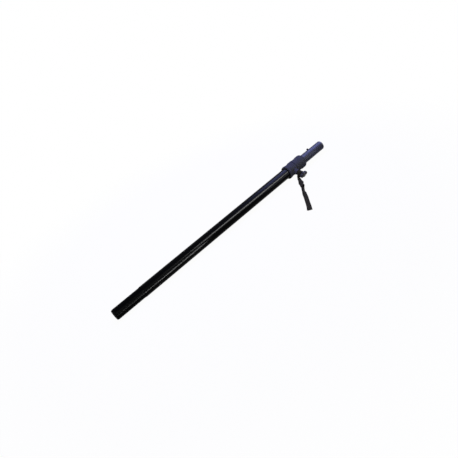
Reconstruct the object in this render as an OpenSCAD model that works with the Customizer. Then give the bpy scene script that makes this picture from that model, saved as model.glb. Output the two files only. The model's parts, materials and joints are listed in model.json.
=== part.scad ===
// Telescopic loudspeaker pole, lying on its side: spigot, main tube, clamp collar, inner tube and strap.
// +X runs along the pole from the spigot to the top end, and +Z is up.
// The origin is on the pole's axis, in the plane of the spigot's shoulder.

/* [Main tube] */
// Outer diameter of the main tube
tube_d = 38.1; // [34:0.1:45]
// Wall thickness of the main tube
tube_wall = 1.25; // [1:0.05:2]
// Length of main tube that shows between the spigot's taper and the collar
tube_show = 676; // [450:2:1000]

/* [Spigot] */
// Diameter of the plug-in spigot
spigot_d = 36; // [32:0.1:38]
// Length of the spigot's plain wall below the shoulder
spigot_len = 98; // [60:1:140]
// Length of the taper from the spigot up to the main tube
taper_len = 7; // [3:0.5:15]
// Wall thickness of the spigot
spigot_wall = 2.6; // [2:0.1:4]
// Length of the shank inside the main tube
shank_len = 60; // [40:1:90]
// Thickness of the end plug's flange
plug_flange = 3; // [2:0.5:6]
// Depth of the end plug inside the spigot
plug_depth = 12; // [6:1:25]
// Thickness of the rubber bumper on the shank
bumper_t = 8; // [4:1:15]
// Diameter of the rivets through the shank
rivet_d = 5; // [3:0.5:7]

/* [Collar] */
// Length of the whole collar
collar_len = 90; // [80:1:120]
// Wall of the collar over the main tube, at its crowns
collar_wall = 5.95; // [4.5:0.05:9]
// Height of the parting line above the collar's lower face
part_at = 38; // [34:1:44]
// Width of the shadow groove below the parting line
groove_w = 2.2; // [1:0.1:3]
// Depth of the shadow groove
groove_depth = 1.8; // [0.5:0.1:2.5]
// Depth of the two shallow waists
waist_depth = 1.5; // [0.5:0.1:2.5]
// Length of each waist
waist_len = 24; // [14:1:26]
// Height of the lower waist's middle above the lower face
lower_waist = 19; // [16:1:22]
// Height of the upper waist's middle above the lower face
upper_waist = 59; // [55:1:64]
// Edge radius of the lower lip
lip_round = 1.5; // [0.5:0.1:2.5]
// Radius of the rounded top
top_round = 6.5; // [3:0.5:6.5]
// Thickness of the top lip that holds the guide bush
top_lip = 6; // [3:0.5:8]
// Length of main tube inside the collar
tube_in_collar = 70; // [60:1:74]
// Diameter of the grub screws that hold the collar
grub_d = 6; // [4:0.5:8]

/* [Clamp] */
// Diameter of the clamp boss
boss_d = 21; // [18:0.5:26]
// Height of the boss above the collar's crowns
boss_rise = 9; // [8:0.5:16]
// Angle of the clamp screw below the horizontal
knob_drop = 15.5; // [0:0.5:30]
// Diameter of the pressure shoe
shoe_d = 12; // [10.5:0.5:13]
// Diameter of the threaded insert
insert_d = 15; // [13:0.5:17]
// Length of the threaded insert
insert_len = 8; // [6:0.5:9]
// Diameter of the clamp screw
stud_d = 10; // [6:0.5:10.5]
// Pitch of the clamp screw
stud_pitch = 1.5; // [1:0.25:1.75]
// Turns from clamped to free
free_turns = 2; // [1:0.25:2]
// Diameter of the screw's plain point
point_d = 6; // [4:0.5:8]

/* [Knob] */
// Diameter of the knob's neck
neck_d = 15; // [12:0.5:18]
// Length of the wings from tip to tip
wing_len = 33; // [30:1:60]
// Width of the wings
wing_w = 13; // [9:0.5:16]
// Thickness of the wings
wing_t = 11; // [9:0.5:18]
// Diameter of the hub between the wings
hub_d = 19; // [16:0.5:24]
// Edge radius of the wings
wing_round = 2.5; // [1:0.25:4]
// Angle of the wings from the pole's axis, at rest
wing_angle = 5; // [0:1:90]
// Diameter of the disc that covers the screw's end
knob_cap_d = 12; // [11:0.5:15]

/* [Inner tube] */
// Wall thickness of the inner tube
inner_wall = 1.5; // [1.2:0.1:2.5]
// Length that shows above the collar
inner_show = 115; // [90:1:300]
// Length of the slightly reduced top stretch
top_len = 48; // [30:1:70]
// Step in radius at the top stretch
top_step = 0.2; // [0.2:0.05:0.4]
// Thickness of the top cap's head
cap_t = 5; // [3:0.5:8]
// Depth of the top cap inside the tube
cap_depth = 18; // [10:1:25]
// Edge radius of the top cap
cap_round = 3.5; // [1:0.25:4]
// Free travel below the inner tube at rest
drop_room = 23; // [5:1:60]
// Length of the guide plug's head
guide_head = 14; // [11:1:25]
// Depth of the guide plug inside the tube
guide_depth = 30; // [15:1:60]
// Distance from the inner tube's lower end to the stop ring
stop_at = 115; // [60:5:250]
// Width of the guide ring
guide_ring_w = 6; // [3:0.5:7]
// Width of the stop ring
stop_ring_w = 4; // [2:0.5:8]

/* [Snap button] */
// Diameter of the button
button_d = 7; // [5:0.1:9]
// Height of the button above the tube's surface
button_rise = 5; // [4:0.5:9]
// Distance of the button below the top stretch
button_below = 11.5; // [6:0.5:30]
// Lean of the button from the vertical
button_lean = 25; // [0:1:90]
// Width of the leaf spring
spring_w = 8; // [6:0.5:10]
// Thickness of the leaf spring
spring_t = 0.8; // [0.5:0.1:1.2]
// Length of the leaf spring's straight legs
spring_leg = 40; // [25:1:60]

/* [Strap] */
// Width of the webbing
strap_w = 15; // [12:0.5:18]
// Thickness of one ply of webbing
strap_t = 1.2; // [0.8:0.1:1.6]
// Room between the two plies where the strap stands on edge
strap_open = 4; // [0:0.5:8]
// Width of the webbing where it is gathered round the knob's neck
loop_w = 10; // [8:0.5:13]

/* [Hidden] */
$fn = 96;

// Colours of the finishes
gloss_black = [0.05, 0.05, 0.06];
blue_black = [0.16, 0.18, 0.26];
collar_black = [0.17, 0.17, 0.22];
knob_black = [0.15, 0.15, 0.16];
natural_nylon = [0.86, 0.84, 0.78];
rubber_black = [0.1, 0.1, 0.1];
zinc_steel = [0.7, 0.71, 0.72];
brass_yellow = [0.78, 0.62, 0.28];
webbing_black = [0.16, 0.16, 0.17];

// Fits: a pressed seat, a moulded plug, a running fit, the rings, the shoe in its hole, and the two tubes
seat = 0.02;
plug_fit = 0.2;
run_gap = 0.05;
ring_gap = 0.1;
shoe_gap = 0.1;
slide_gap = 0.35;
over = 1;

// Tubes
tube_r = tube_d / 2;
tube_ir = tube_r - tube_wall;
inner_r = tube_ir - slide_gap;
inner_ir = inner_r - inner_wall;
top_r = inner_r - top_step;

// Spigot
spigot_r = spigot_d / 2;
spigot_bore = spigot_r - spigot_wall;
spigot_chamfer = 1;
plug_round = 1.2;
rivet_r = rivet_d / 2;
rivet_depth = 3;
shank_x = taper_len + shank_len;
shank_rivets = [taper_len + shank_len / 3, taper_len + shank_len * 2 / 3];
bumper_x = shank_x + bumper_t;
back_turn = 110;

// Collar, along X
collar_r = tube_r + collar_wall;
collar_x = taper_len + tube_show;
collar_top = collar_x + collar_len;
part_x = collar_x + part_at;
part_gap = 0.1;
tube_top = collar_x + tube_in_collar;
bush_top = collar_top - top_lip;
lip_gap = 0.45;
waist_r = (pow(waist_len / 2, 2) + pow(waist_depth, 2)) / (2 * waist_depth);
grub_r = grub_d / 2;
grub_sunk = 0.8;
grub_key = 3;
grub_key_depth = 2;

// Clamp, outwards from the pole's axis
boss_r = boss_d / 2;
boss_margin = 0.5;
knob_x = part_x - boss_r - boss_margin;
boss_top = collar_r + boss_rise;
boss_chamfer = 1;
boss_flare = 2;
insert_r = insert_d / 2;
insert_low = boss_top - insert_len;
insert_sunk = 0.2;
shoe_r = shoe_d / 2;
shoe_travel = stud_pitch * free_turns;
shoe_top = insert_low - shoe_travel - slide_gap;
stud_r = stud_d / 2;
point_r = point_d / 2;
point_len = 2.8;
point_room = 0.2;

// Knob, outwards from the pole's axis
neck_r = neck_d / 2;
knob_gap = 1.5;
strap_play = 0.5;
neck_low = boss_top + knob_gap;
head_low = neck_low + strap_w + 2 * strap_play;
head_top = head_low + wing_t;
knob_cap_r = knob_cap_d / 2;
knob_cap_t = 1.5;
stud_top = head_top - knob_cap_t - 1;

// Inner tube, along X
cap_x = collar_top + inner_show - cap_t;
seam_x = cap_x - top_len;
inner_x = bumper_x + drop_room + guide_head;
cap_inset = 0.15;
cap_wall = 2.5;
ring_seat = 0.9;
ring_split = 2;
stop_r = inner_r - ring_seat;
guide_r = inner_ir - ring_seat;
guide_ring_x = inner_x - guide_head / 2 - guide_ring_w / 2;
guide_nose = 2;
guide_bore = 8;
stop_x = inner_x + stop_at;
ring_r = tube_ir - ring_gap;
plug_rivet_r = 2;
plug_rivet_x = inner_x + guide_depth / 2;

// Snap button, outwards from the pole's axis
button_r = button_d / 2;
button_x = seam_x - button_below;
button_tip = inner_r + button_rise;
button_flange_r = button_r + 1.7;
button_flange_t = 1.5;
button_flange_top = sqrt(pow(inner_ir, 2) - pow(button_flange_r, 2)) - slide_gap;
button_flange_low = button_flange_top - button_flange_t;
spring_end = button_flange_r + 2;
spring_high = button_flange_low - run_gap;
spring_low = sqrt(pow(inner_ir, 2) - pow(spring_w / 2, 2)) - ring_gap;
spring_bend_r = (spring_high + spring_low) / 2;

// Strap loop: a teardrop round the neck, cut where its two plies meet
loop_gap = 0.4;
loop_turn = 215;
loop_steps = 40;
loop_in_r = neck_r + loop_gap;
loop_out_r = loop_in_r + strap_t;
loop_tip = 2 * neck_r - 1;
loop_half = asin(loop_out_r / loop_tip);
loop_in_tip = loop_tip - strap_t / sin(loop_half);
loop_cut = loop_tip - strap_t / tan(loop_half);
loop_low = head_low - 2 * strap_play - loop_w;
loop_mid = loop_low + loop_w / 2;

// The floor the pole lies on, from the spigot's end to the collar's lip
floor_from = -spigot_len + spigot_chamfer;
floor_to = collar_x + lip_round;
floor_slope = (collar_r - spigot_r) / (floor_to - floor_from);

// Strap tail: places on the floor, the webbing's turn there, and how far it is still gathered
strap_clear = 0.3;
strap_lead = 5;
strap_steps = 4;
strap_route = [
    [690, -45, 0, 0.8], [685, -52, 0, 0.7], [680, -60, 0, 0.6], [675, -68, 0, 0.4], [669, -76, 4, 0.2],
    [662, -84, 10, 0], [652, -95, 26, 0], [643, -106, 50, 0], [636, -114, 72, 0], [630, -119, 90, 0],
    [623, -126, 108, 0], [618, -133, 128, 0], [613, -139, 148, 0], [608, -144, 166, 0],
    [600, -154, 177, 0], [586, -170, 180, 0], [570, -188, 180, 0], [555, -205, 180, 0],
    [540, -220, 180, 0]
];

// Places children with local Z along the pole, starting at x
module on_axis(x) {
    translate([x, 0, 0]) rotate([0, 90, 0]) children();
}

// Places children with local Z along the clamp screw, outwards from the pole's axis
module at_knob() {
    translate([knob_x, 0, 0]) rotate([90 + knob_drop, 0, 0]) children();
}

// Places children with local Z outwards on the side away from the knob
module at_back(x) {
    translate([x, 0, 0]) rotate([-back_turn, 0, 0]) children();
}

// Places children with local Z along the snap button, outwards from the pole's axis
module at_button() {
    translate([button_x, 0, 0]) rotate([-button_lean, 0, 0]) children();
}

// A plain ring on the pole's axis
module ring(inside, outside, from, to) {
    on_axis(from) rotate_extrude() translate([inside, 0]) square([outside - inside, to - from]);
}

// Half the section of a disc whose far edge is rounded
module rounded_disc(r, t, edge) {
    square([r - edge, t]);
    square([r, t - edge]);
    translate([r - edge, t - edge]) intersection() {
        circle(edge);
        square(edge);
    }
}

// A rectangle with round corners, about its centre
module soft_rect(w, h, edge) {
    square([w - 2 * edge, h], center = true);
    square([w, h - 2 * edge], center = true);
    for (x = [-1, 1], y = [-1, 1])
        translate([x * (w / 2 - edge), y * (h / 2 - edge)]) circle(edge);
}

// A round puck with soft edges, about its centre
module puck(r, t, edge) {
    rotate_extrude() intersection() {
        soft_rect(2 * r, t, edge);
        translate([0, -t]) square([2 * r, 2 * t]);
    }
}

// A split ring on the pole's axis
module split_ring(inside, outside, from, width) {
    difference() {
        ring(inside, outside, from, from + width);
        at_back(from + width / 2) translate([-width, -ring_split / 2, 0])
            cube([2 * width, ring_split, 2 * outside]);
    }
}

module outer_tube() {
    color(gloss_black) difference() {
        ring(tube_ir, tube_r, taper_len, tube_top);
        at_knob() cylinder(r = shoe_r + shoe_gap, h = tube_d);
        for (x = shank_rivets) at_back(x) cylinder(r = rivet_r + seat, h = tube_d);
    }
}

module base_spigot() {
    color(gloss_black) difference() {
        on_axis(0) rotate_extrude() polygon([
            [spigot_bore, -spigot_len], [spigot_r - spigot_chamfer, -spigot_len],
            [spigot_r, -spigot_len + spigot_chamfer], [spigot_r, 0], [tube_r, taper_len],
            [tube_ir - seat, taper_len], [tube_ir - seat, shank_x], [spigot_bore, shank_x]
        ]);
        for (x = shank_rivets) at_back(x) cylinder(r = rivet_r + seat, h = tube_d);
    }
}

module spigot_plug() {
    color(collar_black) difference() {
        on_axis(0) rotate_extrude() union() {
            translate([0, -spigot_len]) mirror([0, 1])
                rounded_disc(spigot_r - spigot_chamfer, plug_flange, plug_round);
            translate([0, -spigot_len]) square([spigot_bore - plug_fit, plug_depth]);
        }
        on_axis(-spigot_len) cylinder(r = spigot_bore - spigot_wall, h = plug_depth + over);
    }
}

module spigot_rivets() {
    color(zinc_steel) for (x = shank_rivets)
        at_back(x) translate([0, 0, tube_ir - rivet_depth])
            intersection() {
                cylinder(r = rivet_r, h = rivet_depth + 2 * tube_wall);
                translate([0, 0, rivet_depth - tube_ir]) rotate([0, 90, 0])
                    cylinder(r = tube_r, h = 4 * rivet_d, center = true);
            }
}

module spigot_bumper() {
    color(rubber_black) on_axis(shank_x) rotate_extrude() union() {
        rounded_disc(tube_ir - slide_gap, bumper_t, plug_round);
        translate([0, -plug_depth]) square([spigot_bore - plug_fit, plug_depth]);
    }
}

// Half the section of the whole collar, from its lower face up
module collar_section() {
    difference() {
        union() {
            square([collar_r - lip_round, collar_len - top_round]);
            square([collar_r - top_round, collar_len]);
            translate([0, lip_round]) square([collar_r, collar_len - lip_round - top_round]);
            translate([collar_r - lip_round, lip_round]) circle(lip_round);
            translate([collar_r - top_round, collar_len - top_round]) circle(top_round);
        }
        for (y = [lower_waist, upper_waist])
            translate([collar_r + waist_r - waist_depth, y]) circle(waist_r, $fn = 360);
        translate([collar_r - groove_depth, part_at - groove_w]) square([2 * groove_depth, groove_w]);
    }
}

module grub_hole(x) {
    at_back(x) cylinder(r = grub_r + seat, h = 2 * collar_r);
}

module boss() {
    intersection() {
        at_knob() union() {
            cylinder(r = boss_r, h = boss_top - boss_chamfer);
            translate([0, 0, boss_top - boss_chamfer])
                cylinder(r1 = boss_r, r2 = boss_r - boss_chamfer, h = boss_chamfer);
            translate([0, 0, collar_r - waist_depth])
                cylinder(r1 = boss_r + boss_flare, r2 = boss_r, h = 2 * boss_flare);
            cylinder(r = boss_r + boss_flare, h = collar_r - waist_depth);
        }
        on_axis(collar_x) cylinder(r = 2 * boss_top, h = part_at - part_gap);
    }
}

module collar_body() {
    color(collar_black) difference() {
        union() {
            on_axis(collar_x) rotate_extrude() intersection() {
                collar_section();
                square([2 * collar_r, part_at - part_gap]);
            }
            boss();
        }
        on_axis(collar_x - over) cylinder(r = tube_r + seat, h = collar_len);
        at_knob() cylinder(r = shoe_r + shoe_gap, h = boss_top);
        at_knob() translate([0, 0, insert_low]) cylinder(r = insert_r + seat, h = insert_len + over);
        grub_hole(collar_x + lower_waist);
    }
}

module collar_cap() {
    color(collar_black) difference() {
        on_axis(collar_x) rotate_extrude() difference() {
            collar_section();
            translate([0, -over]) square([2 * collar_r, part_at + over]);
            square([tube_r + seat, collar_len - top_lip]);
            square([inner_r + lip_gap, collar_len + over]);
        }
        grub_hole(collar_x + upper_waist);
    }
}

module collar_bush() {
    color(natural_nylon) ring(inner_r + run_gap, tube_r, tube_top, bush_top - seat);
}

module collar_screws() {
    grub_top = collar_r - waist_depth - grub_sunk;
    color(zinc_steel) for (y = [lower_waist, upper_waist])
        at_back(collar_x + y) difference() {
            cylinder(r = grub_r, h = grub_top);
            translate([0, 0, grub_top - grub_key_depth])
                cylinder(d = grub_key, h = grub_key_depth + over, $fn = 6);
            rotate([0, 90, 0]) cylinder(r = tube_r + seat, h = 4 * grub_d, center = true);
        }
}

module clamp_insert() {
    color(brass_yellow) at_knob() translate([0, 0, insert_low]) difference() {
        cylinder(r = insert_r, h = insert_len - insert_sunk);
        translate([0, 0, -over]) cylinder(r = stud_r + run_gap, h = insert_len + 2 * over);
    }
}

module clamp_shoe() {
    color(natural_nylon) difference() {
        at_knob() difference() {
            cylinder(r = shoe_r, h = shoe_top);
            translate([0, 0, shoe_top - point_len - point_room])
                cylinder(r = point_r + run_gap, h = point_len + over);
        }
        on_axis(knob_x - shoe_d) cylinder(r = tube_ir, h = 2 * shoe_d);
    }
}

module knob_stud() {
    stud_low = shoe_top + point_room;
    color(zinc_steel) at_knob() union() {
        translate([0, 0, stud_low - point_len]) cylinder(r = point_r, h = point_len + over);
        translate([0, 0, stud_low]) cylinder(r = stud_r, h = stud_top - stud_low);
    }
}

// The two wings, with soft edges, about their centre
module wings() {
    reach = wing_len / 2 - wing_w / 2;
    for (side = [-1, 1]) translate([side * reach, 0, 0]) puck(wing_w / 2, wing_t, wing_round);
    rotate([90, 0, 90]) linear_extrude(2 * reach, center = true) soft_rect(wing_w, wing_t, wing_round);
}

module knob_head() {
    color(knob_black) at_knob() difference() {
        union() {
            translate([0, 0, neck_low]) cylinder(r = neck_r, h = head_top - neck_low - wing_t / 2);
            translate([0, 0, head_low + wing_t / 2]) {
                puck(hub_d / 2, wing_t, wing_round);
                rotate(wing_angle) wings();
            }
        }
        cylinder(r = stud_r + seat, h = stud_top + seat);
        translate([0, 0, head_top - knob_cap_t]) cylinder(r = knob_cap_r + seat, h = knob_cap_t + over);
    }
}

module knob_cap() {
    color(collar_black) at_knob() translate([0, 0, head_top - knob_cap_t])
        rotate_extrude() rounded_disc(knob_cap_r, knob_cap_t, knob_cap_t / 3);
}

module stop_ring() {
    color(natural_nylon) split_ring(stop_r + ring_gap, ring_r, stop_x, stop_ring_w);
}

module guide_ring() {
    color(natural_nylon) split_ring(guide_r + ring_gap, ring_r, guide_ring_x, guide_ring_w);
}

module inner_tube() {
    color(blue_black) difference() {
        union() {
            ring(inner_ir, inner_r, inner_x, seam_x);
            ring(inner_ir, top_r, seam_x - over, cap_x);
        }
        ring(stop_r, inner_r + over, stop_x - ring_gap, stop_x + stop_ring_w + ring_gap);
        at_button() cylinder(r = button_r + ring_gap, h = tube_d);
        at_back(plug_rivet_x) cylinder(r = plug_rivet_r + seat, h = tube_d);
        at_back(plug_rivet_x) rotate([180, 0, 0]) cylinder(r = plug_rivet_r + seat, h = tube_d);
    }
}

module guide_plug() {
    head_x = inner_x - guide_head;
    ring_to = guide_ring_x + guide_ring_w + ring_gap;
    color(natural_nylon) difference() {
        on_axis(0) rotate_extrude() polygon([
            [guide_bore, head_x], [inner_r - guide_nose, head_x], [inner_r, head_x + guide_nose],
            [inner_r, guide_ring_x - ring_gap], [guide_r, guide_ring_x - ring_gap], [guide_r, ring_to],
            [inner_r, ring_to], [inner_r, inner_x], [inner_ir - plug_fit, inner_x],
            [inner_ir - plug_fit, inner_x + guide_depth], [guide_bore, inner_x + guide_depth]
        ]);
        at_back(plug_rivet_x) cylinder(r = plug_rivet_r + seat, h = tube_d);
        at_back(plug_rivet_x) rotate([180, 0, 0]) cylinder(r = plug_rivet_r + seat, h = tube_d);
    }
}

module plug_rivets() {
    color(zinc_steel) for (side = [0, 180])
        at_back(plug_rivet_x) rotate([side, 0, 0]) intersection() {
            translate([0, 0, inner_ir - rivet_depth])
                cylinder(r = plug_rivet_r, h = rivet_depth + 2 * inner_wall);
            rotate([0, 90, 0]) cylinder(r = inner_r, h = 4 * rivet_d, center = true);
        }
}

module top_cap() {
    color(collar_black) difference() {
        on_axis(cap_x) rotate_extrude() union() {
            rounded_disc(top_r - cap_inset, cap_t, cap_round);
            translate([0, -cap_depth]) square([inner_ir - plug_fit, cap_depth]);
        }
        on_axis(cap_x - cap_depth - over) cylinder(r = inner_ir - cap_wall, h = cap_depth + over);
    }
}

module button_spring() {
    color(zinc_steel) at_button() rotate([90, 0, 0]) linear_extrude(spring_w, center = true) union() {
        translate([-spring_leg, spring_high - spring_t]) square([spring_leg + spring_end, spring_t]);
        translate([-spring_leg, -spring_low]) square([spring_leg + spring_end, spring_t]);
        translate([-spring_leg, spring_high - spring_bend_r]) intersection() {
            difference() {
                circle(spring_bend_r);
                circle(spring_bend_r - spring_t);
            }
            translate([-2 * spring_bend_r, -2 * spring_bend_r])
                square([2 * spring_bend_r, 4 * spring_bend_r]);
        }
    }
}

module snap_button() {
    color(zinc_steel) at_button() rotate_extrude() union() {
        translate([0, button_flange_low]) square([button_flange_r, button_flange_t]);
        translate([0, button_flange_low])
            rounded_disc(button_r, button_tip - button_flange_low, button_r / 2);
    }
}

// Outline of a loop that touches a circle of that radius and runs straight from it to that tip
module teardrop(r, tip) {
    open = acos(r / tip);
    arc = [for (i = [0 : loop_steps]) open + (360 - 2 * open) * i / loop_steps];
    polygon(concat([[tip, 0]], [for (a = arc) r * [cos(a), sin(a)]]));
}

module strap_loop() {
    color(webbing_black) at_knob() translate([0, 0, loop_low]) rotate(loop_turn)
        linear_extrude(loop_w) difference() {
            teardrop(loop_out_r, loop_tip);
            teardrop(loop_in_r, loop_in_tip);
            translate([loop_cut, -loop_tip]) square(2 * loop_tip);
        }
}

// The strap's tail is a ribbon of two plies along a smooth curve through its places.
// Each place is a point, the webbing's turn about its own length, 0 where it lies flat, and the gathering.
function unit(v) = v / norm(v);
function place(p) = [p[0], p[1], p[2]];
function from_knob(v) = [
    knob_x + v[0],
    -v[1] * sin(knob_drop) - v[2] * cos(knob_drop),
    v[1] * cos(knob_drop) - v[2] * sin(knob_drop)
];
function half_t(turn) = strap_t + strap_open / 2 * pow(sin(turn), 2);
function width_at(gather) = strap_w + gather * (loop_w - strap_w);
function floor_at(x) = -spigot_r - floor_slope * (x - floor_from);
function lift(turn, w) = w / 2 * abs(sin(turn)) + half_t(turn) * abs(cos(turn)) + strap_clear;
function flat_side(t) = unit(cross([0, 0, 1], t));
function turn_of(t, side) = atan2(cross(t, flat_side(t)) * side, flat_side(t) * side);
function side_at(t, turn) = flat_side(t) * cos(turn) + cross(t, flat_side(t)) * sin(turn);
function smooth(a, b, c, d, u) =
    b + u / 2 * (c - a + u * (2 * a - 5 * b + 4 * c - d + u * (3 * b - 3 * c + d - a)));
loop_way = [cos(loop_turn), sin(loop_turn), 0];
tail_from = from_knob(loop_cut * loop_way + [0, 0, loop_mid]);
tail_way = unit(from_knob(loop_way) - from_knob([0, 0, 0]));
tail_turn = turn_of(tail_way, from_knob([0, 0, 1]) - from_knob([0, 0, 0]));
tail_places = concat(
    [
        concat(tail_from, [tail_turn, 1]),
        concat(tail_from + strap_lead * tail_way, [tail_turn, 1])
    ],
    [for (p = strap_route) [p[0], p[1], floor_at(p[0]) + lift(p[2], width_at(p[3])), p[2], p[3]]]
);
last = len(tail_places) - 1;
tail_line = concat(
    [
        for (i = [0 : last - 1], s = [0 : strap_steps - 1])
            smooth(
                tail_places[max(i - 1, 0)], tail_places[i], tail_places[i + 1],
                tail_places[min(i + 2, last)], s / strap_steps
            )
    ],
    [tail_places[last]]
);
rings = len(tail_line);
function tail_dir(i) = i == 0
    ? tail_way
    : unit(place(tail_line[min(i + 1, rings - 1)]) - place(tail_line[i - 1]));

module strap_tail() {
    corners = [[-1, -1], [1, -1], [1, 1], [-1, 1]];
    points = [
        for (i = [0 : rings - 1])
            let (
                t = tail_dir(i),
                turn = tail_line[i][3],
                side = width_at(tail_line[i][4]) / 2 * side_at(t, turn),
                out = half_t(turn) * cross(t, unit(side))
            )
                for (c = corners) place(tail_line[i]) + c[0] * side + c[1] * out
    ];
    walls = [
        for (i = [0 : rings - 2], j = [0 : 3])
            let (k = (j + 1) % 4, a = 4 * i + j, b = 4 * i + k)
                for (f = [[a, b, b + 4], [a, b + 4, a + 4]]) [f[2], f[1], f[0]]
    ];
    ends = [[0, 1, 2], [0, 2, 3], [4 * rings - 2, 4 * rings - 3, 4 * rings - 4],
        [4 * rings - 1, 4 * rings - 2, 4 * rings - 4]];
    color(webbing_black) polyhedron(points, concat(walls, ends));
}

outer_tube();
base_spigot();
spigot_plug();
spigot_rivets();
spigot_bumper();
collar_body();
collar_cap();
collar_bush();
collar_screws();
clamp_insert();
clamp_shoe();
knob_stud();
knob_head();
knob_cap();
stop_ring();
guide_ring();
inner_tube();
guide_plug();
plug_rivets();
top_cap();
button_spring();
snap_button();
strap_loop();
strap_tail();
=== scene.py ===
import json
import math

import bmesh
import bpy
from mathutils import Matrix, Vector


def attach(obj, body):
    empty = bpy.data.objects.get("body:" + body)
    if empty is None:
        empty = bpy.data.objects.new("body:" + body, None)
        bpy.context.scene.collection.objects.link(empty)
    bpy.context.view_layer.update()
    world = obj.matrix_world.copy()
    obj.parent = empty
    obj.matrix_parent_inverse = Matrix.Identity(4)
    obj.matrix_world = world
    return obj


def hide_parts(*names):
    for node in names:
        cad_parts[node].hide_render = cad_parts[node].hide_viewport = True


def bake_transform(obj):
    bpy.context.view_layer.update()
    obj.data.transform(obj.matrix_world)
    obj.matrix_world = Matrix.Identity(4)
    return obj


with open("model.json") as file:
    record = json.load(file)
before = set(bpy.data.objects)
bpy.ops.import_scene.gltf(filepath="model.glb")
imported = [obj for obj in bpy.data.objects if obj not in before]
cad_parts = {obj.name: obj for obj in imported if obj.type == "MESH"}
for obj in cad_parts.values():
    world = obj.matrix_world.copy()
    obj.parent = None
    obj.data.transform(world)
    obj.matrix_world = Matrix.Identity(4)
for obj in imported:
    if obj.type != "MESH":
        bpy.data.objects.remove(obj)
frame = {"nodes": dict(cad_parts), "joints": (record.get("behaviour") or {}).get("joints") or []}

mm = 0.001
weldGap = 0.002  # points closer than this, in mm, are one
poleWay, upWay = Vector((1, 0, 0)), Vector((0, 0, 1))
nodes = frame["nodes"]
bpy.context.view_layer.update()  # brings the imported nodes' places up to date
print("frame loaded:", len(nodes), "CAD nodes")


def clearSelection():
    if bpy.context.object and bpy.context.object.mode != "OBJECT":
        bpy.ops.object.mode_set(mode="OBJECT")
    bpy.ops.object.select_all(action="DESELECT")


def pickPoints(piece, test):  # selects, in edit mode, the points that pass the test
    shape = bmesh.from_edit_mesh(piece.data)
    for point in shape.verts:
        point.select = test(point.co)
    shape.select_flush_mode()
    bmesh.update_edit_mesh(piece.data)


def applyModifier(piece, kind, **settings):
    bpy.ops.object.modifier_add(type=kind)
    modifier = piece.modifiers[-1]
    for key, value in settings.items():
        setattr(modifier, key, value)
    bpy.ops.object.modifier_apply(modifier=modifier.name)


def weld():  # in edit mode, merges points that lie on each other
    bpy.ops.mesh.select_all(action="SELECT")
    bpy.ops.mesh.remove_doubles(threshold=weldGap * mm)


def closeShape(smooth):  # turns the active piece's faces outwards and leaves its place in the mesh
    bpy.ops.object.mode_set(mode="EDIT")
    weld()
    bpy.ops.mesh.normals_make_consistent(inside=False)
    bpy.ops.object.mode_set(mode="OBJECT")
    bpy.ops.object.transform_apply(location=True, rotation=True, scale=True)
    bpy.ops.object.shade_smooth_by_angle(angle=math.radians(smooth))


def colour(code):  # sRGB hex to linear
    parts = [int(code[i:i + 2], 16) / 255 for i in (1, 3, 5)]
    return [c / 12.92 if c <= 0.04045 else ((c + 0.055) / 1.055) ** 2.4 for c in parts] + [1]


def addNode(tree, kind, links=None, **settings):
    node = tree.nodes.new(kind)
    for key, value in settings.items():
        setattr(node, key, value)
    for socket, source in (links or {}).items():
        if isinstance(source, bpy.types.NodeSocket):
            tree.links.new(source, node.inputs[socket])
        else:
            node.inputs[socket].default_value = source
    return node


def mathNode(tree, operation, *values, **settings):
    links = dict(enumerate(values))
    return addNode(tree, "ShaderNodeMath", links, operation=operation, **settings).outputs[0]


def objectPlace(tree, size, stretch=(1, 1, 1)):  # Object coordinates, one unit of which is size mm
    place = addNode(tree, "ShaderNodeTexCoord").outputs["Object"]
    scale = [share / (size * mm) for share in stretch]
    return addNode(tree, "ShaderNodeMapping", {"Vector": place, "Scale": scale}).outputs[0]


# camera: the photograph's viewpoint, in mm of the CAD frame
view = {
    "place": (-278.4, -1157.9, 726.4),
    "aim": (360.8, -11.5, -18.1),
    "roll": -24.6,  # degrees about the line of sight
    "lens": 35.37,
    "sensor": 36,
}


def makeCamera():
    bpy.ops.object.camera_add()
    camera = bpy.context.object
    camera.name = "viewpoint"
    camera.data.sensor_width = view["sensor"]
    camera.data.lens = view["lens"]
    place, aim = Vector(view["place"]) * mm, Vector(view["aim"]) * mm
    turn = (aim - place).to_track_quat("-Z", "Y").to_matrix().to_4x4()
    roll = Matrix.Rotation(math.radians(view["roll"]), 4, "Z")
    camera.matrix_world = Matrix.Translation(place) @ turn @ roll
    bpy.context.scene.camera = camera


# the surface the pole lies on: it touches the spigot's end and the collar's lip, in mm
ground = {
    "low": (-97, -18),  # x and z of the spigot's contact
    "high": (684.5, -25),  # x and z of the lip's contact
    "size": 12000,
    "paper": "#b4b4b4",
    "white": (0.965, 1),  # share of plain white that the camera sees, by the object and far from it
    "reach": 1100,  # how far the shadow's part of the paper goes
    "fade": 0.4,  # the outer share of that reach, in which it fades
}


def groundAt(x):  # height of the surface at x, all in mm
    (x0, z0), (x1, z1) = ground["low"], ground["high"]
    return z0 + (z1 - z0) * (x - x0) / (x1 - x0)


def seenWhite(tree, share):  # the share, but only on rays that show a surface
    path = addNode(tree, "ShaderNodeLightPath")
    pair = mathNode(tree, "ADD", path.outputs["Is Camera Ray"], path.outputs["Is Glossy Ray"])
    seen = mathNode(tree, "ADD", pair, path.outputs["Is Transmission Ray"], use_clamp=True)
    return mathNode(tree, "MULTIPLY", seen, share)


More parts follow.
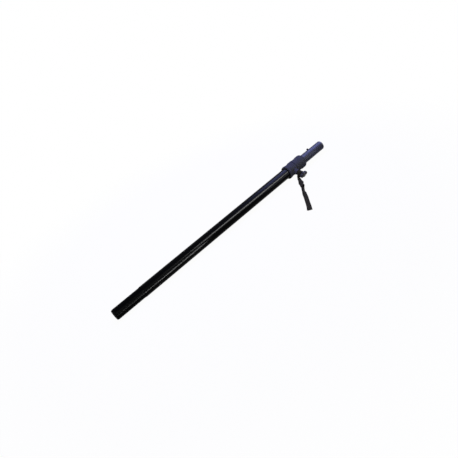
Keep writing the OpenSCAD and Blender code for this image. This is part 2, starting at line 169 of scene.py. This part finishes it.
def makeGround():
    clearSelection()
    middle = (ground["low"][0] + ground["high"][0]) / 2
    bpy.ops.mesh.primitive_plane_add(size=ground["size"] * mm)
    floor = bpy.context.object
    floor.name = "paperSweep"
    floor.rotation_euler = (0, math.atan(groundAt(0) - groundAt(1)), 0)
    floor.location = (middle * mm, 0, groundAt(middle) * mm)
    material = bpy.data.materials.new("matt studio paper")
    material.use_nodes = True
    tree = material.node_tree
    tree.nodes.remove(tree.nodes["Principled BSDF"])
    paper = addNode(tree, "ShaderNodeBsdfDiffuse", {"Color": colour(ground["paper"])})
    white = addNode(tree, "ShaderNodeEmission", {"Color": (1, 1, 1, 1), "Strength": 1})
    near = addNode(tree, "ShaderNodeTexGradient", {"Vector": objectPlace(tree, ground["reach"])},
                   gradient_type="SPHERICAL")
    share = addNode(tree, "ShaderNodeMapRange", {
        "Value": near.outputs["Fac"], "From Max": ground["fade"],
        "To Min": ground["white"][1], "To Max": ground["white"][0]})
    mix = addNode(tree, "ShaderNodeMixShader", {
        0: seenWhite(tree, share.outputs[0]), 1: paper.outputs[0], 2: white.outputs[0]})
    tree.links.new(mix.outputs[0], tree.nodes["Material Output"].inputs["Surface"])
    floor.data.materials.append(material)


# light: a white room, a soft box overhead, a cool one beyond the top end, and strips that draw the
# gloss tube's lines
room = {"level": 0.7}
lamps = {  # places and sizes in mm; level is a lamp's own brightness, where white paper is 1
    "overhead": {"place": (450, 350, 1450), "aim": (700, 0, 0), "size": (900, 700),
                 "level": 23, "tint": "#7b82ff", "gloss": False},
    "topEnd": {"place": (1790, 60, 1121), "aim": (900, 20, 0), "size": (900, 1400),
               "level": 32, "tint": "#a6b0ff", "diffuse": False},
    "longStrip": {"place": (1010, -830, 680), "aim": (440, 0, 0), "size": (740, 240),
                  "level": 140, "tint": "#ffffff", "along": (1, -0.016, -0.31), "diffuse": False},
    "lowStrip": {"place": (115, -163, -12), "aim": (85, -19, 4), "size": (370, 18),
                 "level": 150, "tint": "#ffffff", "diffuse": False},
    "nearPanel": {"place": (800, -165, 10), "aim": (700, -25, 0), "size": (260, 70),
                  "level": 10, "tint": "#e6e9ff", "diffuse": False},
    "lowEnd": {"place": (-1250, -100, 1150), "aim": (300, 0, 0), "size": (900, 1500),
               "level": 14, "tint": "#eef0ff", "diffuse": False},
    "lowEndStrip": {"place": (-450, -850, 640), "aim": (250, 0, 0), "size": (800, 200),
                    "level": 60, "tint": "#ffffff", "along": (1, 0, 0.25), "diffuse": False},
}


def makeLight():
    world = bpy.data.worlds.new("white room")
    bpy.context.scene.world = world
    world.use_nodes = True
    tree = world.node_tree
    soft, white = (addNode(tree, "ShaderNodeBackground", {"Color": (1, 1, 1, 1), "Strength": level})
                   for level in (room["level"], 1))
    mix = addNode(tree, "ShaderNodeMixShader", {
        0: seenWhite(tree, 1), 1: soft.outputs[0], 2: white.outputs[0]})
    tree.links.new(mix.outputs[0], tree.nodes["World Output"].inputs["Surface"])
    for name, lamp in lamps.items():
        bpy.ops.object.light_add(type="AREA")
        light = bpy.context.object
        light.name = name
        light.data.shape = "RECTANGLE"
        light.data.size, light.data.size_y = (side * mm for side in lamp["size"])
        light.data.energy = lamp["level"] * math.pi * light.data.size * light.data.size_y
        light.data.color = colour(lamp["tint"])[:3]
        place, aim = Vector(lamp["place"]) * mm, Vector(lamp["aim"]) * mm
        towards = (place - aim).normalized()
        along = Vector(lamp.get("along", poleWay))
        along = (along - along.dot(towards) * towards).normalized()
        turn = Matrix((along, towards.cross(along), towards)).transposed().to_4x4()
        light.matrix_world = Matrix.Translation(place) @ turn
        light.visible_camera = False
        light.visible_glossy = lamp.get("gloss", True)
        light.visible_diffuse = lamp.get("diffuse", True)


makeCamera()
makeGround()
makeLight()
bpy.context.scene.view_settings.view_transform = "Standard"
print("camera, ground and light set")

# what the finishes of a kind share: stretch of their marks, the span of the noise that changes the
# gloss or tone, and the bump's depth in mm
coat = {"stretch": (0.02, 1, 1), "span": (0.35, 0.75), "depth": 0.05}
moulding = {"span": (0.3, 0.7), "depth": 0.08}
turning = {"stretch": (1, 0.1, 1), "span": (0, 1), "bump": 0.3, "depth": 0.03}
# the weave's span turns the picks' height into painted shade in the hollows
weave = {"sheenRough": 0.5, "fuzz": 0.6, "span": (0.3, 1.3), "bump": 0.6, "depth": 0.2}


def startMaterial(name, sockets):
    material = bpy.data.materials.new(name)
    material.use_nodes = True
    shader = material.node_tree.nodes["Principled BSDF"]
    for socket, value in sockets.items():
        shader.inputs[socket].default_value = value
    return material, material.node_tree, shader


def noise(tree, size, detail, stretch=(1, 1, 1)):  # noise with a grain of size mm
    links = {"Vector": objectPlace(tree, size, stretch), "Scale": 1, "Detail": detail}
    return addNode(tree, "ShaderNodeTexNoise", links).outputs["Fac"]


def setTone(tree, shader, share, look):
    links = {"Factor": share, "A": colour(look["dark"]), "B": colour(look["light"])}
    tone = addNode(tree, "ShaderNodeMix", links, data_type="RGBA")
    tree.links.new(tone.outputs["Result"], shader.inputs["Base Color"])


def setRough(tree, shader, share, span, look):
    links = {"Value": share, "From Min": span[0], "From Max": span[1],
             "To Min": look["rough"][0], "To Max": look["rough"][1]}
    rough = addNode(tree, "ShaderNodeMapRange", links)
    tree.links.new(rough.outputs["Result"], shader.inputs["Roughness"])


def setBump(tree, shader, height, strength, depth):
    links = {"Height": height, "Strength": strength, "Distance": depth * mm}
    bump = addNode(tree, "ShaderNodeBump", links)
    tree.links.new(bump.outputs[0], shader.inputs["Normal"])


def powderCoat(name, look):  # sprayed and baked paint: even colour, faint orange peel, soft scuffs
    material, tree, shader = startMaterial(name, {"IOR": look["ior"], "Metallic": 0})
    setTone(tree, shader, noise(tree, look["cloud"], 4), look)
    setRough(tree, shader, noise(tree, look["scuff"], 3, coat["stretch"]), coat["span"], look)
    setBump(tree, shader, noise(tree, look["peel"], 2), look["bump"], coat["depth"])
    return material


def moulded(name, look):  # moulded plastic: spark-eroded grain, slightly uneven tone and gloss
    material, tree, shader = startMaterial(name, {"IOR": look["ior"], "Metallic": 0})
    cloud = noise(tree, look["cloud"], 4)
    setTone(tree, shader, cloud, look)
    setRough(tree, shader, cloud, moulding["span"], look)
    setBump(tree, shader, noise(tree, look["grain"], 3), look["bump"], moulding["depth"])
    return material


def metal(name, look):  # plated or turned metal: fine lines of the tool, uneven polish
    material, tree, shader = startMaterial(name, {"Metallic": 1})
    lines = noise(tree, look["lines"], 3, turning["stretch"])
    setTone(tree, shader, lines, look)
    setRough(tree, shader, lines, turning["span"], look)
    setBump(tree, shader, lines, turning["bump"], turning["depth"])
    return material


def wovenWebbing(name, look):  # plain weave: raised picks, fuzz, a soft sheen at the edges, and painted shade between the picks
    material, tree, shader = startMaterial(name, {
        "IOR": look["ior"], "Roughness": look["rough"],
        "Sheen Weight": look["sheen"], "Sheen Roughness": weave["sheenRough"]})
    mapped = addNode(tree, "ShaderNodeUVMap", uv_map="weaveMap")  # mm across and along the band
    axes = addNode(tree, "ShaderNodeSeparateXYZ", {0: mapped.outputs["UV"]})
    warp = mathNode(tree, "DIVIDE", axes.outputs["X"], look["warp"])
    pick = mathNode(tree, "DIVIDE", axes.outputs["Y"], look["pick"])
    column = mathNode(tree, "FLOOR", warp)
    shifted = mathNode(tree, "MULTIPLY_ADD", column, 0.5, pick)  # each column is half a pick on
    ribs = [mathNode(tree, "PINGPONG", run, 0.5) for run in (shifted, warp)]
    height = mathNode(tree, "ADD", *ribs)
    grain = mathNode(tree, "MULTIPLY_ADD", noise(tree, look["fuzz"], 3), weave["fuzz"], height)
    # painted shade and light: the tone follows the height, darker in the hollows between picks and
    # lighter on their tops
    share = addNode(tree, "ShaderNodeMapRange", {
        "Value": grain, "From Min": weave["span"][0], "From Max": weave["span"][1]})
    setTone(tree, shader, share.outputs[0], look)
    setBump(tree, shader, grain, weave["bump"], weave["depth"])
    return material


finishes = {  # sizes of grain, clouds, lines and weave in mm
    "tubeGloss": powderCoat("gloss black powder coat", {
        "dark": "#010101", "light": "#020202", "ior": 1.08, "rough": (0.2, 0.28), "bump": 0.06,
        "peel": 1.6, "cloud": 60, "scuff": 3}),
    "spigotPaint": powderCoat("satin black powder coat", {
        "dark": "#010101", "light": "#020202", "ior": 1.06, "rough": (0.26, 0.4), "bump": 0.18,
        "peel": 1.2, "cloud": 30, "scuff": 0.8}),
    "innerPaint": powderCoat("blue-black tube enamel", {
        "dark": "#2d2e32", "light": "#35363a", "ior": 1.1, "rough": (0.22, 0.3), "bump": 0.1,
        "peel": 1.2, "cloud": 45, "scuff": 1.0}),
    "collarNylon": moulded("moulded glass-filled nylon", {
        "dark": "#323232", "light": "#3a3a3a", "ior": 1.05, "rough": (0.5, 0.62), "bump": 0.35,
        "grain": 0.7, "cloud": 18}),
    "knobNylon": moulded("moulded satin nylon", {
        "dark": "#1c1b17", "light": "#24231f", "ior": 1.1, "rough": (0.42, 0.55), "bump": 0.25,
        "grain": 0.6, "cloud": 12}),
    # painted light: a lighter grey copy of the black polyethylene, on the top cap and the knob's
    # cap
    "litEndPlastic": moulded("moulded black polyethylene, lighter copy for painted light", {
        "dark": "#343230", "light": "#403e3b", "ior": 1.25, "rough": (0.45, 0.6), "bump": 0.25,
        "grain": 0.6, "cloud": 15}),
    # painted shade: a near-black copy of the same polyethylene, on the spigot's plug
    "shadedPlugPlastic": moulded("moulded matt black polyethylene", {
        "dark": "#020202", "light": "#040404", "ior": 1.04, "rough": (0.6, 0.75), "bump": 0.25,
        "grain": 0.6, "cloud": 15}),
    "naturalNylon": moulded("natural turned nylon", {
        "dark": "#d2ccb8", "light": "#e2dccb", "ior": 1.5, "rough": (0.4, 0.55), "bump": 0.2,
        "grain": 0.5, "cloud": 12}),
    "rubber": moulded("black bumper rubber", {
        "dark": "#161616", "light": "#202020", "ior": 1.3, "rough": (0.7, 0.85), "bump": 0.4,
        "grain": 0.4, "cloud": 10}),
    "zincSteel": metal("zinc plated steel", {
        "dark": "#a9abad", "light": "#c9cbcc", "rough": (0.28, 0.45), "lines": 0.5}),
    "blackSteel": metal("blackened spring steel", {
        "dark": "#040405", "light": "#09090b", "rough": (0.3, 0.45), "lines": 0.6}),
    "brass": metal("turned brass", {
        "dark": "#5d4a24", "light": "#7d6433", "rough": (0.35, 0.5), "lines": 0.4}),
    # the webbing's dark is painted shade in the weave's hollows, its light is painted light on the
    # raised picks
    "webbing": wovenWebbing("black polypropylene webbing", {
        "dark": "#141106", "light": "#232010", "ior": 1.06, "rough": 0.75, "sheen": 0.03,
        "warp": 1.5, "pick": 1.8, "fuzz": 0.5}),  # picks about twice as coarse as real, to show
    "thread": wovenWebbing("black bonded sewing thread", {
        "dark": "#1c1b18", "light": "#34332e", "ior": 1.2, "rough": 0.6, "sheen": 0.03,
        "warp": 0.4, "pick": 0.5, "fuzz": 0.3}),
}

dressed = {
    "tubeGloss": ["outer_tube"],
    "spigotPaint": ["base_spigot"],
    "innerPaint": ["inner_tube"],
    "collarNylon": ["collar_body", "collar_cap"],
    "knobNylon": ["knob_head"],
    "litEndPlastic": ["top_cap", "knob_cap"],
    "shadedPlugPlastic": ["spigot_plug"],
    "naturalNylon": ["collar_bush", "clamp_shoe", "stop_ring", "guide_ring", "guide_plug"],
    "rubber": ["spigot_bumper"],
    "zincSteel": ["spigot_rivets", "collar_screws", "plug_rivets"],
    "blackSteel": ["snap_button"],
    "brass": ["clamp_insert"],
}
for finish, members in dressed.items():
    for member in members:
        nodes[member].data.materials.clear()
        nodes[member].data.materials.append(finishes[finish])
print("finishes set on the CAD nodes")

# strap: one length of webbing folded round the knob's neck, its two plies on the ground with half a
# twist, in mm and degrees
strap = {
    "width": 15,
    "bunched": 12.5,  # width at the fold's ends
    "gathered": 9,  # width a little further on, where the plies turn down to the ground
    "lead": 3.2,  # how much further on
    "thick": 1.2,
    "open": 3,  # room between the plies where they stand on edge
    "apart": 0.1,  # and where they lie flat on each other
    "bulge": 3,  # how far the lower ply hangs loose in the twist
    "looseTurn": 120,  # and up to which turn
    "clear": 0.3,  # room under the strap
    "neck": 7.5,  # radius of the knob's neck
    "loopGap": 1.2,  # room round the neck
    "slack": 1.2,  # how far the fold hangs away from the neck
    "hang": 232,  # which way it hangs, about the knob's axis
    "loopTurn": 215,  # which way the plies leave
    "loopTop": 50.5,  # along the knob's axis, from the pole's axis
    "loopEnd": 15,  # where the fold's two ends meet, from the knob's axis
    "loopSteps": 36,
    "loopSpread": 8,  # the fold is at full width after its length divided by this
    "steps": 4,  # between two places of the strap's line
    "smooth": 50,
    "shorter": 3,  # the second ply's end is cut back by this much
    "tackAt": 2,  # the route's point where the plies are sewn together
    "tackWidth": 0.8,  # share of the strap's width there
    "tackLength": 2.6,
    "tackSteps": 18,
    "thread": 0.5,
    "threadSides": 6,
    "threadSink": 0.15,  # share of the thread that is pulled into the webbing
    "longer": 5,  # the webbing runs on past the route's last point
    "route": [  # part.scad's points: x, y and turn; then width, and how each ply strays to its side
        (690, -45, 0, 9, 0, 2.5), (685, -52, 0, 9, 0, 4), (680, -60, 0, 13, 0, 0.5),
        (675, -68, 0, 15, 1, 0.5), (669, -76, 4, 15, 2.5, 1.5), (662, -84, 10, 15, 1, 1),
        (652, -95, 26, 15, 0, 0), (643, -106, 50, 15, 0, 0), (636, -114, 72, 15, 0, 0),
        (630, -119, 90, 15, 0, 0), (623, -126, 108, 15, 0, 0), (618, -133, 128, 15, 0, 0),
        (613, -139, 148, 15, 0, 0), (608, -144, 166, 15, 0, 0), (600, -154, 177, 15, 0.5, 0),
        (586, -170, 180, 15, 0.5, 0), (570, -188, 180, 15, 0.5, 0), (555, -205, 180, 15, 1, 0.5),
        (540, -220, 180, 15, 2, 1),
    ],
}
rootPlaces = ((0, strap["bunched"]), (strap["lead"], strap["gathered"]))  # past the fold, and width
knobTurn = next(joint for joint in frame["joints"] if joint["name"] == "knob_turn")
knobAxis = Vector(knobTurn["axis"]).normalized()
knobUp = knobAxis.cross(poleWay)
knobPlace = Vector(knobTurn["pos_m"]) / mm
loopAngle, hangAngle = math.radians(strap["loopTurn"]), math.radians(strap["hang"])
loopWay = (poleWay * math.cos(loopAngle) + knobUp * math.sin(loopAngle)).normalized()


def plyRoom(turn):  # distance of a ply's middle from the strap's middle
    edge = math.sin(math.radians(turn)) ** 2
    return (strap["thick"] + strap["apart"] + strap["open"] * edge) / 2


def acrossAt(way, turn):
    flat = upWay.cross(way).normalized()
    return flat * math.cos(math.radians(turn)) + way.cross(flat) * math.sin(math.radians(turn))


def onCurve(a, b, c, d, u):  # a smooth curve from b to c, steered by a and d
    return b + u / 2 * (c - a + u * (2 * a - 5 * b + 4 * c - d + u * (3 * b - 3 * c + d - a)))


def strapLine():  # place, turn, width, each ply's straying and the looseness, along the free length
    flat = upWay.cross(loopWay).normalized()
    rootTurn = math.degrees(math.atan2(loopWay.cross(flat).dot(knobAxis), flat.dot(knobAxis)))
    places = []
    for ahead, width in rootPlaces:
        out, along = strap["loopEnd"] + ahead, strap["loopTop"] - width / 2
        places.append((*(knobPlace + loopWay * out + knobAxis * along), rootTurn, width, 0, 0, 0))
    for x, y, turn, width, strayLow, strayHigh in strap["route"]:
        sine, cosine = math.sin(math.radians(turn)), math.cos(math.radians(turn))
        loose = strap["bulge"] * max(0, math.sin(math.pi * turn / strap["looseTurn"]))
        lift = (width / 2 * abs(sine) + (plyRoom(turn) + strap["thick"] / 2) * abs(cosine)
                + loose * max(0, cosine))
        height = groundAt(x) + lift + strap["clear"]
        places.append((x, y, height, turn, width, strayLow, strayHigh, loose))
    places = [Vector(place) for place in places]
    onward = places[-1] - places[-2]
    places.append(places[-1] + onward * (strap["longer"] / Vector(onward[:3]).length))
    line, last = [], len(places) - 1
    for i in range(last):
        steered = [places[min(max(k, 0), last)] for k in (i - 1, i, i + 1, i + 2)]
        line += [onCurve(*steered, step / strap["steps"]) for step in range(strap["steps"])]
    return line + [places[last]]


def skin(shape, rings):  # skins rings of points, with a map of mm across and along
    points, faces, marks = shape
    first, size, length = len(points), len(rings[0][0]), 0
    for i, (ring, across) in enumerate(rings):
        if i:
            length += (sum(ring, Vector()) - sum(rings[i - 1][0], Vector())).length / size
        points += [place * mm for place in ring]
        marks += [(side, length) for side in across]
    for i in range(len(rings) - 1):
        a, b = first + i * size, first + (i + 1) * size
        faces += [(a + j, a + (j + 1) % size, b + (j + 1) % size, b + j) for j in range(size)]
    faces.append(tuple(first + j for j in reversed(range(size))))
    faces.append(tuple(first + (len(rings) - 1) * size + j for j in range(size)))


def meshPiece(name, shape, material):
    points, faces, marks = shape
    data = bpy.data.meshes.new(name)
    data.from_pydata(points, [], faces)
    weaveMap = data.uv_layers.new(name="weaveMap")
    for loop in data.loops:
        weaveMap.data[loop.index].uv = marks[loop.vertex_index]
    data.materials.append(material)
    piece = bpy.data.objects.new(name, data)
    bpy.context.scene.collection.objects.link(piece)
    clearSelection()
    piece.select_set(True)
    bpy.context.view_layer.objects.active = piece
    closeShape(strap["smooth"])
    return piece


# section of webbing: a flat band with rounded selvedges, in shares of half its width and thickness
upperSide = [(-0.985, 0.6), (-0.94, 1), (-0.5, 0.96), (0, 1), (0.5, 0.96), (0.94, 1), (0.985, 0.6)]
bandSection = [(-1, 0)] + upperSide + [(1, 0)] + [(u, -v) for u, v in reversed(upperSide)]


def bandRing(middle, across, out, width):
    ring = [middle + across * (u * width / 2) + out * (v * strap["thick"] / 2)
            for u, v in bandSection]
    return ring, [u * width / 2 for u, v in bandSection]


def tailShape(line, middles, ways):  # the free length's two plies
    tail = ([], [], [])
    for side in (-1, 1):
        rings = []
        for place, middle, way in zip(line, middles, ways):
            turn, width, strayLow, strayHigh, loose = place[3:]
            across = acrossAt(way, turn)
            out = way.cross(across)
            gap, stray = plyRoom(turn), strayHigh
            if side < 0:
                gap, stray = gap + loose, strayLow
            ply = middle + (out * gap + across * stray) * side
            rings.append(bandRing(ply, across, out, width))
        if side > 0:  # the second ply stops short of the first
            gone, back = 0, len(rings) - 1
            while gone < strap["shorter"]:
                gone += (middles[back] - middles[back - 1]).length
                back -= 1
            rings = rings[:back + 1]
        skin(tail, rings)
    return tail


def foldShape(ply):  # the fold round the neck, its ends laid on the tail's two plies
    radius = strap["neck"] + strap["loopGap"] + strap["thick"] / 2 + strap["slack"]
    sag = hangAngle - loopAngle
    droopX, droopY = strap["slack"] * math.cos(sag), strap["slack"] * math.sin(sag)
    ahead = strap["loopEnd"] - droopX
    tilt = math.atan2(-droopY, ahead)
    opening = math.acos(radius / math.hypot(ahead, droopY))
    steps = strap["loopSteps"]
    turns = [tilt + opening + (2 * math.pi - 2 * opening) * i / steps for i in range(steps + 1)]
    flatPlaces = [(droopX + radius * math.cos(a), droopY + radius * math.sin(a)) for a in turns]
    flatPlaces = [(strap["loopEnd"], ply)] + flatPlaces + [(strap["loopEnd"], -ply)]
    last = len(flatPlaces) - 1
    spread = [min(1, strap["loopSpread"] * min(i, last - i) / steps) for i in range(last + 1)]
    widths = [strap["bunched"] + (strap["width"] - strap["bunched"]) * share for share in spread]
    sideWay = knobAxis.cross(loopWay)
    places = [knobPlace + loopWay * x + sideWay * y + knobAxis * (strap["loopTop"] - width / 2)
              for (x, y), width in zip(flatPlaces, widths)]
    ways = [places[min(i + 1, last)] - places[max(i - 1, 0)] for i in range(last + 1)]
    ways = [-loopWay] + [way.normalized() for way in ways[1:-1]] + [loopWay]
    fold = ([], [], [])
    skin(fold, [bandRing(place, knobAxis, way.cross(knobAxis).normalized(), width)
                for place, way, width in zip(places, ways, widths)])
    return fold


def tackShape(place, middle, way):  # bar tack that sews the plies: a zigzag of thread on both faces
    turn, width = place[3], place[4] * strap["tackWidth"]
    across = acrossAt(way, turn)
    out = way.cross(across)
    height = plyRoom(turn) + strap["thick"] / 2 - strap["threadSink"] * strap["thread"]
    last, sides = strap["tackSteps"], strap["threadSides"]
    turns = [2 * math.pi * k / sides for k in range(sides)]
    stitches = ([], [], [])
    for side in (-1, 1):
        face = middle + out * side * height
        corners = [face + across * width * (i / last - 0.5)
                   + way * strap["tackLength"] * (i % 2 - 0.5) for i in range(last + 1)]
        rings = []
        for i, corner in enumerate(corners):
            run = (corners[min(i + 1, last)] - corners[max(i - 1, 0)]).normalized()
            aside = run.cross(out).normalized()
            ring = [corner + (aside * math.cos(a) + out * math.sin(a)) * strap["thread"] / 2
                    for a in turns]
            rings.append((ring, [strap["thread"] * a / 2 for a in turns]))
        skin(stitches, rings)
    return stitches


def makeStrap():
    line = strapLine()
    middles = [Vector(place[:3]) for place in line]
    last = len(line) - 1
    ways = [loopWay] + [(middles[min(i + 1, last)] - middles[i - 1]).normalized()
                        for i in range(1, last + 1)]
    strapTail = meshPiece("strapTail", tailShape(line, middles, ways), finishes["webbing"])
    strapFold = meshPiece("strapFold", foldShape(plyRoom(line[0][3])), finishes["webbing"])
    at = (len(rootPlaces) + strap["tackAt"]) * strap["steps"]
    stitches = tackShape(line[at], middles[at], ways[at])
    strapTack = meshPiece("strapTack", stitches, finishes["thread"])
    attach(strapTack, "outer")

    for piece, node in ((strapTail, "strap_tail"), (strapFold, "strap_loop")):
        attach(piece, "outer")
        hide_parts(node)


makeStrap()

# leaf spring of the snap button: a strip bent double, whose upper leg gives way under the button,
# in mm and degrees
leaf = {
    "place": 823.5,  # of the button, along the pole
    "lean": 25,  # from the vertical
    "width": 8,
    "thick": 0.8,
    "tip": 7.2,  # past the button's middle
    "leg": 40,
    "high": 12.7785,  # middles of the two legs, from the pole's axis
    "low": -14.9403,
    "legSteps": 14,
    "bendSteps": 20,
    "edge": 0.15,
    "smooth": 35,
    "firm": 6,  # the stretch on either side of the button that moves as one with it
    "still": 1.1,  # how surely the lower leg keeps out of the button's travel; 1 is just so
}


def makeLeaf():
    clearSelection()
    middle = leaf["tip"] - leaf["width"] / 2
    bpy.ops.mesh.primitive_plane_add(size=leaf["width"] * mm,
                                     location=(middle * mm, 0, leaf["high"] * mm))
    spring = bpy.context.object
    spring.name = "leafSpring"
    bpy.ops.object.transform_apply(location=True)
    bpy.ops.object.mode_set(mode="EDIT")
    pickPoints(spring, lambda place: place.x < middle * mm)
    back = (leaf["leg"] + leaf["tip"] - leaf["width"]) / leaf["legSteps"] * mm
    for i in range(leaf["legSteps"]):
        bpy.ops.mesh.extrude_region_move(TRANSFORM_OT_translate={"value": (-back, 0, 0)})
    bpy.ops.mesh.spin(steps=leaf["bendSteps"], angle=math.pi, axis=(0, 1, 0),
                      center=(-leaf["leg"] * mm, 0, (leaf["high"] + leaf["low"]) / 2 * mm))
    ahead = (leaf["leg"] + leaf["tip"]) / leaf["legSteps"] * mm
    for i in range(leaf["legSteps"]):
        bpy.ops.mesh.extrude_region_move(TRANSFORM_OT_translate={"value": (ahead, 0, 0)})
    weld()
    bpy.ops.object.mode_set(mode="OBJECT")
    applyModifier(spring, "SOLIDIFY", thickness=leaf["thick"] * mm, offset=0, use_even_offset=True)
    applyModifier(spring, "BEVEL", width=leaf["edge"] * mm, segments=2, limit_method="ANGLE")
    spring.rotation_euler = (-math.radians(leaf["lean"]), 0, 0)
    spring.location = (leaf["place"] * mm, 0, 0)
    closeShape(leaf["smooth"])
    spring.data.materials.append(finishes["zincSteel"])
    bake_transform(spring)
    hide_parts("button_spring")
    print("leaf spring bent:", len(spring.data.polygons), "faces")


makeLeaf()

# clamp screw: rolled thread with a turned point that seats in the shoe, in mm along the knob's axis
screw = {
    "low": 22.85,
    "high": 60,
    "radius": 4.97,
    "core": 4.1,
    "pitch": 1.5,
    "crest": 0.2,
    "steps": 32,
    "runOut": 2,  # turns of thread past either end, which are then cut off
    "pointRadius": 3,
    "pointLength": 2.8,
    "pointSink": 0.2,  # share of its length that it goes on into the thread
    "pointEdge": 0.5,
    "smooth": 30,
    "seed": 0.1,  # a plane that is merged to the outline's first point
}


def makeScrew():
    clearSelection()
    pitch, low, high = screw["pitch"] * mm, screw["low"] * mm, screw["high"] * mm
    depth = (screw["radius"] - screw["core"]) * mm
    crest, flank = screw["crest"] * mm, (screw["pitch"] - screw["crest"]) / 2 * mm
    begin = (screw["core"] * mm, 0, low - screw["runOut"] * pitch)
    bpy.ops.mesh.primitive_plane_add(size=screw["seed"] * mm, location=begin)
    thread = bpy.context.object
    thread.name = "clampScrew"
    bpy.ops.object.transform_apply(location=True)
    bpy.ops.object.mode_set(mode="EDIT")
    bpy.ops.mesh.select_all(action="SELECT")
    bpy.ops.mesh.merge(type="CENTER")
    for across, along in ((depth, flank), (0, crest), (-depth, flank)):  # one pitch of the outline
        bpy.ops.mesh.extrude_region_move(TRANSFORM_OT_translate={"value": (across, 0, along)})
    bpy.ops.object.mode_set(mode="OBJECT")
    turns = math.ceil((high - low) / pitch) + 2 * screw["runOut"]
    applyModifier(thread, "SCREW", axis="Z", angle=2 * math.pi, screw_offset=pitch,
                  steps=screw["steps"], render_steps=screw["steps"], iterations=turns)
    bpy.ops.object.mode_set(mode="EDIT")
    weld()
    for height, inner in ((low, True), (high, False)):
        bpy.ops.mesh.select_all(action="SELECT")
        bpy.ops.mesh.bisect(plane_co=(0, 0, height), plane_no=(0, 0, 1), use_fill=True,
                            clear_inner=inner, clear_outer=not inner)
    length, sink = screw["pointLength"] * mm, screw["pointSink"]
    bpy.ops.mesh.primitive_cylinder_add(
        vertices=screw["steps"], radius=screw["pointRadius"] * mm, depth=(1 + sink) * length,
        location=(0, 0, low - (1 - sink) / 2 * length))
    pickPoints(thread, lambda place: place.z < low - length / 2)
    bpy.ops.mesh.bevel(offset=screw["pointEdge"] * mm, segments=2, affect="EDGES")
    bpy.ops.object.mode_set(mode="OBJECT")
    turn = Matrix((poleWay, knobUp, knobAxis)).transposed().to_4x4()
    thread.matrix_world = Matrix.Translation(knobPlace * mm) @ turn
    closeShape(screw["smooth"])
    thread.data.materials.append(finishes["zincSteel"])
    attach(thread, "knob")
    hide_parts("knob_stud")
    print("clamp screw cut:", len(thread.data.polygons), "faces")


makeScrew()
